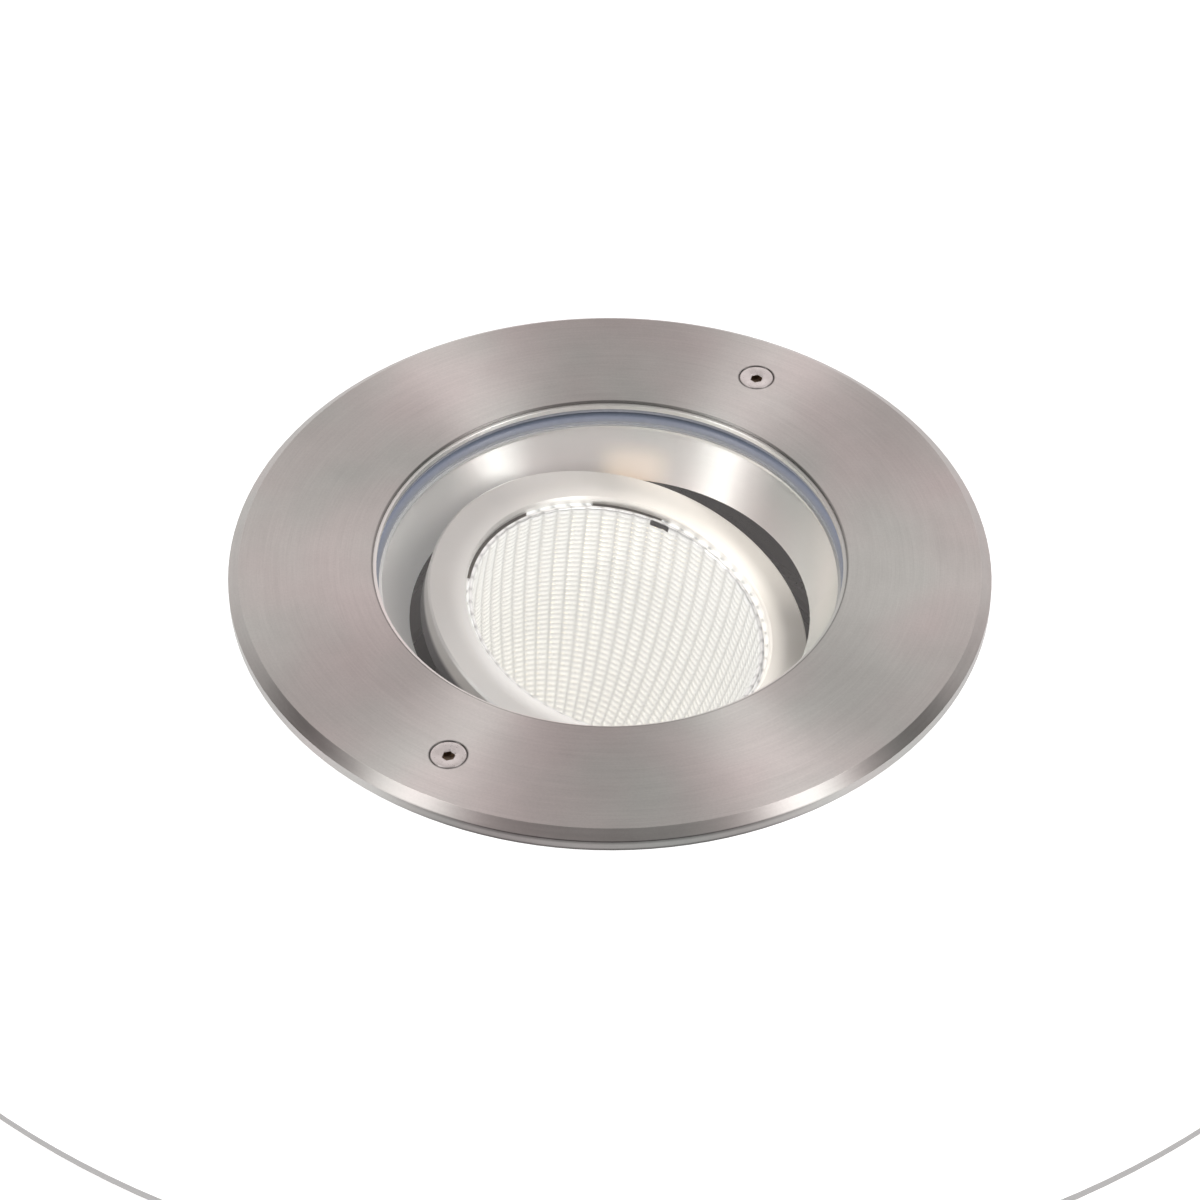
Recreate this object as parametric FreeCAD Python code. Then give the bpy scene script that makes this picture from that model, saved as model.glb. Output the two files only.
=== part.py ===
import FreeCAD, Part
import math
import os

# In-ground well light with a tilting, turning lamp. Millimetres, +Z up.
# Origin: centre of the bezel's seat, in the plane of the ground it sits on.
# The bezel stands above z = 0, everything else hangs below it in the ground.

os.makedirs("parts", exist_ok=True)
V = FreeCAD.Vector
Z = V(0, 0, 1)

# ---------------------------------------------------------------- driving dimensions
BEZEL_R = 105.0          # bezel outer radius
BEZEL_TOP = 5.2          # flat top above the ground
BEZEL_FLAT_R = 102.1     # flat top ends here, the edge bevel starts
BEZEL_BEVEL_Z = 3.0      # lower edge of the bevel
BEZEL_OPEN_R = 65.3      # opening
BEZEL_SEAT_R = 98.0      # inner radius of the ground seat
BEZEL_PLATE = 3.0        # plate over the sleeve
BEZEL_LIP = 1.0          # thin plate over the clamp ring
SCREW_R = 86.8           # bezel screws, distance from the centre
SCREW_AZ = (61.0, 241.0)
M5_HEAD_R = 5.0
M5_SHANK_R = 2.45
M5_HEX_AF = 3.0

GLASS_R = 68.5
GLASS_TOP = 1.7
GLASS_T = 6.0
GLASS_BOT = GLASS_TOP - GLASS_T          # -4.3
GASKET_T = 1.0
CLAMP_IN_R = 64.3
CLAMP_OUT_R = 79.0
CLAMP_SCREW_R = 74.5
CLAMP_SCREWS = 6

CONE_TOP_R = 63.0
CONE_BOT_R = 55.8
CONE_TOP = -6.2
CONE_BOT = -19.1
CONE_WALL = 1.2

FLANGE_R = 80.0
FLANGE_TOP = 0.3
FLANGE_BOT = -9.9
POT_UP_R = 77.0          # upper pot, outer
POT_UP_IN = 73.5
POT_LOW_R = 73.5         # lower pot, outer
POT_LOW_IN = 70.0
POT_STEP = -57.0         # ledge that carries the turning yoke
FLOOR_TOP = -168.0
FLOOR_BOT = -172.0

SLEEVE_R = 95.0
SLEEVE_WALL = 3.0
SLEEVE_TOP = 1.0
SLEEVE_BOT = -203.0
COLLAR_BOT = -24.0       # the tube butts against the collar here
SPIGOT_R = 91.9          # collar and base ring spigots inside the tube
SLEEVE_BASE_IN = 66.0

TILT_AZ = -12.3          # the lamp leans towards this azimuth
TILT_REST = 14.5         # lean in the photographed pose
TILT_LIMIT = 15.0        # lean at either stop
PIVOT_Z = -29.35
FACE_W = 11.1            # lamp ring face above the pivot
RING_R = 54.6
RING_IN_R = 43.6
ARM_U = 57.5             # inner face of the yoke arms
ARM_T = 2.5
PIVOT_HOLE_R = 3.0
PIVOT_PIN_R = 2.95

GLAND_X = 0.0
GLAND_Y = 0.0
GLAND_BORE_R = 4.5


# ---------------------------------------------------------------- helpers
def save(shape, name):
    assert len(name) < 60
    s = shape
    if not s.isValid():
        s = s.removeSplitter()
    print("%-24s solids %2d  vol %10.1f  valid %s" % (name, len(s.Solids), s.Volume, s.isValid()))
    s.exportStep("parts/%s.step" % name)


def turned(pts):
    """Solid of revolution about Z from (r, z) points."""
    w = Part.makePolygon([V(r, 0, z) for r, z in pts] + [V(pts[0][0], 0, pts[0][1])])
    s = Part.Face(w).revolve(V(0, 0, 0), Z, 360)
    s = Part.Solid(s.Shells[0]) if not s.Solids else s.Solids[0]
    if s.Volume < 0:
        s.reverse()
    return s


def cyl(r, z0, z1, x=0.0, y=0.0):
    return Part.makeCylinder(r, z1 - z0, V(x, y, z0), Z)


def ring(ri, ro, z0, z1, x=0.0, y=0.0):
    return cyl(ro, z0, z1, x, y).cut(cyl(ri, z0 - 1, z1 + 1, x, y))


def box(x0, x1, y0, y1, z0, z1):
    return Part.makeBox(x1 - x0, y1 - y0, z1 - z0, V(x0, y0, z0))


def polar(r, az, z=0.0):
    a = math.radians(az)
    return V(r * math.cos(a), r * math.sin(a), z)


def at(shape, az, centre=V(0, 0, 0)):
    s = shape.copy()
    s.rotate(centre, Z, az)
    return s


def hexagon(af, z0, z1, x, y, turn=0.0):
    r = af / math.sqrt(3.0)
    p = [V(x + r * math.cos(math.radians(60 * i + turn)), y + r * math.sin(math.radians(60 * i + turn)), z0) for i in range(7)]
    p[6] = p[0]
    return Part.Face(Part.makePolygon(p)).extrude(V(0, 0, z1 - z0))


def csk_screw(x, y, ztop, head_r, shank_r, length, af, depth):
    """Countersunk screw with a hexagon socket, axis down -Z, head top at ztop."""
    pts = [(0, 0), (head_r, 0), (head_r, -0.25), (shank_r, -0.25 - (head_r - shank_r)), (shank_r, -length + 0.6),
           (shank_r - 0.6, -length), (0, -length)]
    s = turned(pts)
    s = s.cut(hexagon(af, -depth, 1.0, 0, 0, 15))
    s.translate(V(x, y, ztop))
    return s


def pan_screw(x, y, z_under, head_r, head_h, shank_r, length, slot=True, up=True):
    """Pan head screw, head above z_under, shank below it (or the other way up)."""
    pts = [(0, head_h), (head_r * 0.6, head_h), (head_r, head_h * 0.45), (head_r, 0), (shank_r, 0), (shank_r, -length), (0, -length)]
    s = turned(pts)
    if slot:
        s = s.cut(box(-head_r * 0.62, head_r * 0.62, -0.35, 0.35, head_h * 0.45, head_h + 1))
        s = s.cut(box(-0.35, 0.35, -head_r * 0.62, head_r * 0.62, head_h * 0.45, head_h + 1))
    if not up:
        s.rotate(V(0, 0, 0), V(1, 0, 0), 180)
    s.translate(V(x, y, z_under))
    return s


def group(shapes):
    return Part.makeCompound(shapes)


# ---------------------------------------------------------------- bezel
bezel = turned([
    (BEZEL_OPEN_R, BEZEL_TOP - BEZEL_LIP), (BEZEL_OPEN_R, BEZEL_TOP - 0.2), (BEZEL_OPEN_R + 0.2, BEZEL_TOP),
    (BEZEL_FLAT_R, BEZEL_TOP), (BEZEL_R, BEZEL_BEVEL_Z), (BEZEL_R, 0), (BEZEL_SEAT_R, 0),
    (BEZEL_SEAT_R, BEZEL_TOP - BEZEL_PLATE), (FLANGE_R, BEZEL_TOP - BEZEL_PLATE), (FLANGE_R, BEZEL_TOP - BEZEL_LIP)])
for az in SCREW_AZ:
    p = polar(SCREW_R, az)
    sink = turned([(0, 1.0), (M5_HEAD_R + 0.15, 1.0), (M5_HEAD_R + 0.15, -0.3), (2.75, -0.3 - (M5_HEAD_R + 0.15 - 2.75)), (2.75, -6), (0, -6)])
    sink.translate(V(p.x, p.y, BEZEL_TOP))
    bezel = bezel.cut(sink)
save(bezel, "bezel_ring")

save(group([csk_screw(polar(SCREW_R, a).x, polar(SCREW_R, a).y, BEZEL_TOP - 0.1, M5_HEAD_R, M5_SHANK_R, 13.0, M5_HEX_AF, 2.2) for a in SCREW_AZ]),
     "bezel_screws")

bz_gasket = ring(82.0, 93.5, SLEEVE_TOP, BEZEL_TOP - BEZEL_PLATE)
for az in SCREW_AZ:
    p = polar(SCREW_R, az)
    bz_gasket = bz_gasket.cut(cyl(3.2, -2, 6, p.x, p.y))
save(bz_gasket, "bezel_gasket")

# ---------------------------------------------------------------- glass and its clamp
clamp = turned([
    (CLAMP_IN_R, 2.95), (CLAMP_IN_R, 4.25), (CLAMP_IN_R + 0.15, 4.4), (65.2, 4.4), (65.2, 4.1), (CLAMP_OUT_R, 4.1),
    (CLAMP_OUT_R, FLANGE_TOP), (69.5, FLANGE_TOP), (69.5, 2.95)])
clamp_screws = []
flange_holes = []
for i in range(CLAMP_SCREWS):
    p = polar(CLAMP_SCREW_R, 31 + 60 * i)
    sink = turned([(0, 1.0), (2.95, 1.0), (2.95, -0.4), (1.65, -1.7), (1.65, -6), (0, -6)])
    sink.translate(V(p.x, p.y, 4.1))
    clamp = clamp.cut(sink)
    clamp_screws.append(csk_screw(p.x, p.y, 4.0, 2.8, 1.45, 10.0, 2.0, 1.2))
    flange_holes.append(cyl(1.5, -7.5, 1.0, p.x, p.y))
save(clamp, "clamp_ring")
save(group(clamp_screws), "clamp_ring_screws")

save(ring(64.6, GLASS_R, GLASS_TOP, 2.95), "upper_gasket")

glass = turned([(0, GLASS_BOT), (GLASS_R - 0.5, GLASS_BOT), (GLASS_R, GLASS_BOT + 0.5), (GLASS_R, GLASS_TOP - 0.5), (GLASS_R - 0.5, GLASS_TOP), (0, GLASS_TOP)])
save(glass, "glass_pane")
save(ring(63.8, GLASS_R, GLASS_BOT - GASKET_T, GLASS_BOT), "lower_gasket")

# ---------------------------------------------------------------- light-catching cone below the glass
dx = CONE_WALL * 1.145
cone = turned([
    (CONE_TOP_R, CONE_TOP), (CONE_TOP_R, GLASS_BOT - GASKET_T), (68.9, GLASS_BOT - GASKET_T), (68.9, CONE_TOP),
    (CONE_TOP_R + dx, CONE_TOP), (CONE_BOT_R + dx, CONE_BOT), (CONE_BOT_R, CONE_BOT)])
save(cone, "inner_cone")

# ---------------------------------------------------------------- lamp housing (sealed pot)
pot = turned([
    (66.2, CONE_TOP), (69.5, CONE_TOP), (69.5, FLANGE_TOP), (FLANGE_R, FLANGE_TOP), (FLANGE_R, FLANGE_BOT),
    (POT_UP_R, FLANGE_BOT), (POT_UP_R, POT_STEP - 3.5), (POT_LOW_R, POT_STEP - 7.0), (POT_LOW_R, FLOOR_BOT + 3), (POT_LOW_R - 3, FLOOR_BOT),
    (0, FLOOR_BOT), (0, FLOOR_TOP), (POT_LOW_IN, FLOOR_TOP), (POT_LOW_IN, POT_STEP), (POT_UP_IN, POT_STEP), (POT_UP_IN, -52.9),
    (74.6, -52.9), (74.6, -51.2), (POT_UP_IN, -51.2), (POT_UP_IN, FLANGE_BOT - 3.8), (66.2, FLANGE_BOT + 0.0)])
for h in flange_holes:
    pot = pot.cut(h)
# floor: gland hole, vent hole, plugged second entry, driver feet
pot = pot.cut(cyl(10.1, FLOOR_BOT - 1, FLOOR_TOP + 1, GLAND_X, GLAND_Y))
VENT = (0.0, 44.0)
PLUG = (0.0, -44.0)
pot = pot.cut(cyl(6.1, FLOOR_BOT - 1, FLOOR_TOP + 1, *VENT))
pot = pot.cut(cyl(8.1, FLOOR_BOT - 1, FLOOR_TOP + 1, *PLUG))
EARTH = (50.0, 30.0)
earth_pad = cyl(6.0, FLOOR_TOP - 0.5, FLOOR_TOP + 3.0, *EARTH)
pot = pot.fuse(earth_pad).cut(cyl(2.0, FLOOR_TOP - 2.0, FLOOR_TOP + 4, *EARTH))
FOOT_H = 7.0
FEET = [(-50.0, 17.0), (-50.0, -17.0), (50.0, 0.0)]
for f in FEET:
    pot = pot.fuse(cyl(5.0, FLOOR_TOP - 0.5, FLOOR_TOP + FOOT_H, *f)).cut(cyl(1.6, FLOOR_TOP + 1.0, FLOOR_TOP + FOOT_H + 1, *f))
save(pot.removeSplitter(), "lamp_housing")

# turning-yoke seat: slide ring on the ledge and a retaining ring in its groove
save(ring(70.6, 73.2, POT_STEP, POT_STEP + 0.8), "pan_slide_ring")
circ = ring(71.2, 74.4, -52.7, -51.4).cut(box(0, 90, -9, 9, -60, -40))
lugs = group([at(cyl(2.6, -52.7, -51.4, 71.6, 0).cut(cyl(0.9, -60, -40, 71.6, 0)), s * 9.6) for s in (1, -1)])
circ = circ.fuse(lugs.Solids[0]).fuse(lugs.Solids[1])
circ = circ.cut(box(0, 90, -6.2, 6.2, -60, -40)).cut(ring(74.4, 90, -60, -40)).cut(cyl(0.9, -60, -40, polar(71.6, 9.6).x, polar(71.6, 9.6).y)).cut(
    cyl(0.9, -60, -40, polar(71.6, -9.6).x, polar(71.6, -9.6).y))
save(at(circ, 200).removeSplitter(), "pan_retaining_ring")

# ---------------------------------------------------------------- driver and terminals on the housing floor
BR_Z = FLOOR_TOP + FOOT_H
bracket = box(-58, 58, -41, 26, BR_Z, BR_Z + 1.5)
bracket = bracket.common(cyl(66.0, BR_Z - 1, BR_Z + 3))
bracket = bracket.cut(box(-24, 24, -11, 10.5, BR_Z - 1, BR_Z + 3))
for f in FEET:
    bracket = bracket.cut(cyl(1.9, BR_Z - 1, BR_Z + 3, *f))
save(bracket, "driver_bracket")
drv = box(-40, 40, -40, -12, BR_Z + 1.5, BR_Z + 21.5)
drv = drv.makeFillet(2.0, [e for e in drv.Edges if abs(e.Vertexes[0].Z - e.Vertexes[1].Z) > 10])
save(drv, "led_driver")
save(group([pan_screw(f[0], f[1], BR_Z + 1.5, 3.2, 2.2, 1.55, 7.0) for f in FEET]), "driver_bracket_screws")
term = box(-22, 22, 11, 25, BR_Z + 1.5, BR_Z + 17.5)
for i in range(4):
    x = -16.5 + 11 * i
    term = term.cut(box(x - 3.2, x + 3.2, 23, 26, BR_Z + 3.5, BR_Z + 10)).cut(cyl(2.1, BR_Z + 11, BR_Z + 19, x, 15.5))
    if i:
        term = term.cut(box(x - 5.9, x - 5.1, 10, 26, BR_Z + 12, BR_Z + 18))
save(term, "terminal_block")
save(group([pan_screw(-16.5 + 11 * i, 15.5, BR_Z + 13.2, 1.9, 1.5, 1.2, 1.6) for i in range(4)]), "terminal_screws")
save(pan_screw(EARTH[0], EARTH[1], FLOOR_TOP + 3.0, 4.0, 2.6, 1.95, 4.2), "earth_screw")

# ---------------------------------------------------------------- cable gland, vent and blanking plug in the floor
gl = cyl(9.95, FLOOR_BOT, FLOOR_TOP + 5.0).fuse(hexagon(24.0, FLOOR_BOT - 7.0, FLOOR_BOT - 1.5, 0, 0)).fuse(cyl(11.0, FLOOR_BOT - 1.5, FLOOR_BOT)).fuse(
    cyl(9.5, FLOOR_BOT - 15.0, FLOOR_BOT - 7.0))
gl = gl.cut(cyl(5.2, FLOOR_BOT - 8.0, FLOOR_TOP + 6.0)).cut(cyl(7.2, FLOOR_BOT - 16.0, FLOOR_BOT - 5.0))
save(gl.removeSplitter(), "cable_gland_body")
save(ring(11.05, 13.4, FLOOR_BOT - 1.5, FLOOR_BOT), "gland_washer")
save(hexagon(24.0, FLOOR_TOP, FLOOR_TOP + 4.5, 0, 0, 30).cut(cyl(10.0, FLOOR_TOP - 1, FLOOR_TOP + 6)), "gland_locknut")
save(ring(GLAND_BORE_R, 7.1, FLOOR_BOT - 17.0, FLOOR_BOT - 5.05), "gland_seal")
nut = hexagon(23.0, FLOOR_BOT - 16.0, FLOOR_BOT - 7.2, 0, 0).fuse(turned([(0, FLOOR_BOT - 21.5), (7.5, FLOOR_BOT - 21.5), (10.2, FLOOR_BOT - 16.0), (0, FLOOR_BOT - 16.0)]))
nut = nut.cut(cyl(9.6, FLOOR_BOT - 15.2, FLOOR_BOT - 7.0)).cut(cyl(7.3, FLOOR_BOT - 17.1, FLOOR_BOT - 15.0)).cut(cyl(5.0, FLOOR_BOT - 23, FLOOR_BOT - 16))
save(nut.removeSplitter(), "gland_dome_nut")
save(turned([(0, FLOOR_BOT - 3.0), (7.5, FLOOR_BOT - 3.0), (8.5, FLOOR_BOT - 2.0), (8.5, FLOOR_BOT), (6.0, FLOOR_BOT), (6.0, FLOOR_TOP + 3.5), (3.0, FLOOR_TOP + 3.5),
             (3.0, FLOOR_BOT - 1.0), (0, FLOOR_BOT - 1.0)]).translated(V(VENT[0], VENT[1], 0)), "breather_vent")
plug = cyl(8.0, FLOOR_BOT, FLOOR_TOP + 2.5, *PLUG).fuse(hexagon(19.0, FLOOR_BOT - 5.0, FLOOR_BOT, PLUG[0], PLUG[1]))
save(plug.removeSplitter(), "blanking_plug")

# ---------------------------------------------------------------- mounting sleeve in the ground: collar, tube, base ring
collar = turned([
    (FLANGE_R + 0.4, SLEEVE_TOP), (94.0, SLEEVE_TOP), (94.0, -1.0), (SLEEVE_R, -2.0), (SLEEVE_R, COLLAR_BOT), (SPIGOT_R, COLLAR_BOT),
    (SPIGOT_R, COLLAR_BOT - 10.0), (SPIGOT_R - 2.4, COLLAR_BOT - 10.0), (SPIGOT_R - 2.4, -21.0), (FLANGE_R + 4.0, -16.0),
    (POT_UP_R + 0.5, -16.0), (POT_UP_R + 0.5, FLANGE_BOT), (FLANGE_R + 0.4, FLANGE_BOT)])
for az in SCREW_AZ:
    p = polar(SCREW_R, az)
    collar = collar.fuse(cyl(5.6, -22.0, -14.0, p.x, p.y).common(cyl(SPIGOT_R - 1.0, -23, -13))).cut(cyl(3.7, -11.0, SLEEVE_TOP + 1, p.x, p.y)).cut(
        cyl(2.8, -18.0, -10.0, p.x, p.y))
save(collar.removeSplitter(), "sleeve_collar")
save(ring(SLEEVE_R - SLEEVE_WALL, SLEEVE_R, SLEEVE_BOT, COLLAR_BOT), "sleeve_tube")
save(turned([
    (SLEEVE_BASE_IN, SLEEVE_BOT), (SPIGOT_R, SLEEVE_BOT), (SPIGOT_R, SLEEVE_BOT + 13.0), (SPIGOT_R - 2.4, SLEEVE_BOT + 13.0), (SPIGOT_R - 2.4, SLEEVE_BOT + 3.0),
    (SLEEVE_BASE_IN, SLEEVE_BOT + 3.0)]), "sleeve_base_ring")
save(group([ring(2.5, 3.7, -11.0, SLEEVE_TOP, polar(SCREW_R, a).x, polar(SCREW_R, a).y) for a in SCREW_AZ]), "sleeve_inserts")

# ---------------------------------------------------------------- turning yoke
TU = TILT_AZ + 90.0      # azimuth of the tilt axis
RZ0, RZ1 = POT_STEP + 0.9, POT_STEP + 3.9


def tilt_frame(shape, lean):
    """Lamp frame: u = X (tilt axis), v = Y, w = Z, origin at the pivot. Leans w towards TILT_AZ."""
    s = shape.copy()
    # u axis is brought to azimuth TU: then v points to TU + 90 = TILT_AZ + 180
    s.rotate(V(0, 0, 0), V(1, 0, 0), lean)
    s.rotate(V(0, 0, 0), Z, TU)
    s.translate(V(0, 0, PIVOT_Z))
    return s


def upright(shape):
    return tilt_frame(shape, 0.0)


yoke = ring(62.0, 72.9, RZ0 - PIVOT_Z, RZ1 - PIVOT_Z)
for s in (1, -1):
    a0, a1 = (ARM_U, ARM_U + ARM_T) if s > 0 else (-ARM_U - ARM_T, -ARM_U)
    foot = box(min(s * ARM_U, s * 64.0), max(s * ARM_U, s * 64.0), -9.0, 9.0, RZ0 - PIVOT_Z, RZ1 - PIVOT_Z)
    arm = box(a0, a1, -9.0, 9.0, RZ0 - PIVOT_Z, 0.0)
    eye = Part.makeCylinder(9.0, ARM_T, V(a0, 0, 0), V(1, 0, 0))
    yoke = yoke.fuse(foot).fuse(arm).fuse(eye)
    yoke = yoke.cut(Part.makeCylinder(PIVOT_HOLE_R, ARM_T + 4, V(a0 - 2, 0, 0), V(1, 0, 0)))
    # gusset folds beside each arm
    for t in (-1, 1):
        g = Part.Face(Part.makePolygon([V(s * 60.0, 0, RZ1 - PIVOT_Z), V(s * 68.0, 0, RZ1 - PIVOT_Z), V(s * 60.0, 0, RZ1 - PIVOT_Z + 10.0), V(s * 60.0, 0, RZ1 - PIVOT_Z)])).extrude(V(0, 1.5, 0))
        g.translate(V(0, t * 8.25 - 0.75, 0))
        yoke = yoke.fuse(g)
# finger slots for turning the lamp by hand
for az in (45, 135, 225, 315):
    slot = ring(65.0, 69.0, RZ0 - PIVOT_Z - 1, RZ1 - PIVOT_Z + 1)
    wedge = box(60.0, 75.0, -9.0, 9.0, RZ0 - PIVOT_Z - 2, RZ1 - PIVOT_Z + 2)
    yoke = yoke.cut(at(slot.common(wedge), az))
save(upright(yoke.removeSplitter()), "pan_yoke")

# ---------------------------------------------------------------- tilting lamp
trim = turned([
    (RING_IN_R, FACE_W - 0.7), (RING_IN_R + 0.7, FACE_W), (RING_R - 0.6, FACE_W), (RING_R, FACE_W - 0.6), (RING_R, 1.4), (52.6, 1.4),
    (52.6, FACE_W - 2.2), (RING_IN_R, FACE_W - 2.2)])
for s in (1, -1):  # skirt notched over the trunnion bosses
    trim = trim.cut(box(min(s * 51.0, s * 56.0), max(s * 51.0, s * 56.0), -7.6, 7.6, 0.0, 7.6))
TRIM_SCREWS = [polar(50.4, a) for a in (40.0, 160.0, 280.0)]
for p in TRIM_SCREWS:
    trim = trim.cut(cyl(1.25, 8.0, 10.4, p.x, p.y))
save(tilt_frame(trim, TILT_REST), "lamp_trim_ring")

# reflector: deep bowl with a flange under the trim ring
RIM_W = 8.8              # height of the rim
RIM_R = 41.6
WALL_END = 80.0          # depth where the curved wall ends
BOWL_END = 81.5          # depth of the opening over the light source
BOWL_HOLE_R = 11.6


def bowl(s):
    """Inner radius of the reflector at depth s below the rim."""
    return RIM_R * math.sqrt(1.0 - (s / 94.0) ** 2)


inner, outer = [], []
for i in range(17):
    d = WALL_END * i / 16.0
    slope = (bowl(d + 0.01) - bowl(d)) / 0.01
    n = math.hypot(1.0, slope)
    inner.append((bowl(d), RIM_W - d))
    outer.append((bowl(d) + 1.3 / n, RIM_W - d + 1.3 * slope / n))
prof = inner + [(BOWL_HOLE_R, RIM_W - BOWL_END), (BOWL_HOLE_R, RIM_W - BOWL_END - 1.3), (outer[-1][0] - 0.6, RIM_W - BOWL_END - 1.3)]
prof += [q for q in outer[::-1] if q[1] < 6.0] + [(43.0, 7.6), (47.6, 7.6), (47.6, RIM_W)]
save(tilt_frame(turned(prof), TILT_REST), "reflector")

# lamp body: thin cup behind the reflector, with the two trunnion bosses
BODY_R = 48.5
BODY_BOT = -80.0
HS_R = 40.0
body = turned([
    (BODY_R - 0.2, 6.6), (52.4, 6.6), (52.4, 8.7), (47.9, 8.7), (47.9, 7.4), (45.6, 7.4), (45.6, -2.0), (41.9, -25.0), (36.3, -50.0), (29.5, -69.5),
    (19.0, -76.4), (19.0, BODY_BOT), (HS_R, BODY_BOT), (HS_R, BODY_BOT + 2.2), (33.4, BODY_BOT + 2.2), (33.0, -72.0), (38.8, -50.0), (44.4, -25.0),
    (BODY_R - 0.2, -3.0)])
for s in (1, -1):
    boss = Part.makeCylinder(7.0, 10.1, V(s * 46.3, 0, 0), V(s, 0, 0)).cut(
        Part.makeCylinder(2.0, 9.6, V(s * 47.3, 0, 0), V(s, 0, 0)))
    body = body.fuse(boss)
for p in TRIM_SCREWS:
    body = body.cut(cyl(1.5, 6.0, 9.5, p.x, p.y))
HS_SCREWS = [polar(36.8, a) for a in (30.0, 150.0, 270.0)]
for p in HS_SCREWS:
    body = body.cut(cyl(1.6, BODY_BOT - 1, BODY_BOT + 3, p.x, p.y))
save(tilt_frame(body.removeSplitter(), TILT_REST), "lamp_body")
save(tilt_frame(group([pan_screw(p.x, p.y, 6.6, 1.9, 1.3, 1.2, 3.5, up=False) for p in TRIM_SCREWS]), TILT_REST), "trim_ring_screws")

# shoulder screws and washers of the tilt pivot
scr, wsh = [], []
for s in (1, -1):
    t = turned([(0, 0), (4.6, 0), (4.6, -2.2), (PIVOT_PIN_R, -2.2), (PIVOT_PIN_R, -2.2 - 3.6), (1.95, -2.2 - 3.6), (1.95, -12.0), (0, -12.0)])
    t = t.cut(hexagon(3.0, -1.5, 1, 0, 0))
    t.rotate(V(0, 0, 0), V(0, 1, 0), 90 * s)
    t.translate(V(s * (ARM_U + ARM_T + 0.25 + 2.2), 0, 0))
    scr.append(t)
    wsh.append(Part.makeCylinder(6.5, 0.75, V(s * 56.5, 0, 0), V(s, 0, 0)).cut(Part.makeCylinder(3.0, 2, V(s * 56.0, 0, 0), V(s, 0, 0))))
save(tilt_frame(group(scr), TILT_REST), "tilt_pivot_screws")
save(tilt_frame(group(wsh), TILT_REST), "tilt_friction_washers")

# LED module on the heat sink
LED_Z = BODY_BOT
save(tilt_frame(box(-12, 12, -12, 12, LED_Z, LED_Z + 1.6), TILT_REST), "led_board")
save(tilt_frame(cyl(9.5, LED_Z + 1.6, LED_Z + 2.4), TILT_REST), "led_emitter")
holder = cyl(18.6, LED_Z + 1.6, LED_Z + 4.0).cut(cyl(10.2, LED_Z, LED_Z + 6))
holder = holder.fuse(ring(10.2, 11.0, LED_Z + 4.0, LED_Z + 4.7))
for s in (1, -1):
    holder = holder.cut(cyl(1.2, LED_Z - 1, LED_Z + 8, s * 16.3, 0))
save(tilt_frame(holder.removeSplitter(), TILT_REST), "led_holder")
save(tilt_frame(group([pan_screw(s * 16.3, 0, LED_Z + 4.0, 2.1, 1.1, 1.1, 6.5) for s in (1, -1)]), TILT_REST), "led_holder_screws")

HS_BASE, HS_BOT = BODY_BOT - 5.0, BODY_BOT - 21.0
hs = cyl(HS_R, HS_BASE, BODY_BOT)
disc = cyl(HS_R, HS_BOT, HS_BASE + 0.5)
for i in range(-5, 6):
    f = box(-45, 45, i * 7.0 - 1.0, i * 7.0 + 1.0, HS_BOT, HS_BASE + 0.5).common(disc)
    hs = hs.fuse(f)
for p in HS_SCREWS:
    hs = hs.cut(cyl(1.5, BODY_BOT - 4.6, BODY_BOT + 1, p.x, p.y))
for s in (1, -1):
    hs = hs.cut(cyl(1.15, BODY_BOT - 3.5, BODY_BOT + 1, s * 16.3, 0))
save(tilt_frame(hs.removeSplitter(), TILT_REST), "heat_sink")
save(tilt_frame(group([pan_screw(p.x, p.y, BODY_BOT + 2.2, 2.4, 1.6, 1.45, 6.4) for p in HS_SCREWS]), TILT_REST), "heat_sink_screws")
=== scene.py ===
import bpy, bmesh, math
from mathutils import Vector, Matrix, geometry


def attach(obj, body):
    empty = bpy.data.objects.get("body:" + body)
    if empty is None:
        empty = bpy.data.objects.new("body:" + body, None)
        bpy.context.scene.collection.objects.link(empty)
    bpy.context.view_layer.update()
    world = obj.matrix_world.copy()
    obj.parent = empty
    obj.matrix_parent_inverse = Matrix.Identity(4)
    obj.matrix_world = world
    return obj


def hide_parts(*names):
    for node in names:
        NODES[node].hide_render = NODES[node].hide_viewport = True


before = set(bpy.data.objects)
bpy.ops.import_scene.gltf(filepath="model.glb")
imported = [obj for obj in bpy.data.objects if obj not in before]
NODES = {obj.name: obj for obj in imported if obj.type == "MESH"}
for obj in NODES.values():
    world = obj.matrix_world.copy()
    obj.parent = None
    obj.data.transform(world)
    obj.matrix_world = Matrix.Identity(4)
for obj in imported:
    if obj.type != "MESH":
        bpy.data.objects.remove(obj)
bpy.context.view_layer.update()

S = bpy.context.scene
MM = 0.001
sin, cos, pi = math.sin, math.cos, math.pi

# ------------------------------------------------------------------ sizes repeated from the model, in mm
BEZEL_TOP, BEZEL_R, FLAT_R, BEVEL_Z, OPEN_R = 5.2, 105.0, 102.1, 3.0, 65.3
SCREW_R, SCREW_AZ = 86.8, (61.0, 241.0)
GLASS_R, GLASS_TOP, GLASS_BOT = 68.5, 1.7, -4.3
TILT_AZ, TILT_REST, PIVOT_Z, FACE_W = -12.3, 14.5, -29.35, 11.1
RING_R, RING_IN_R = 54.6, 43.6


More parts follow.
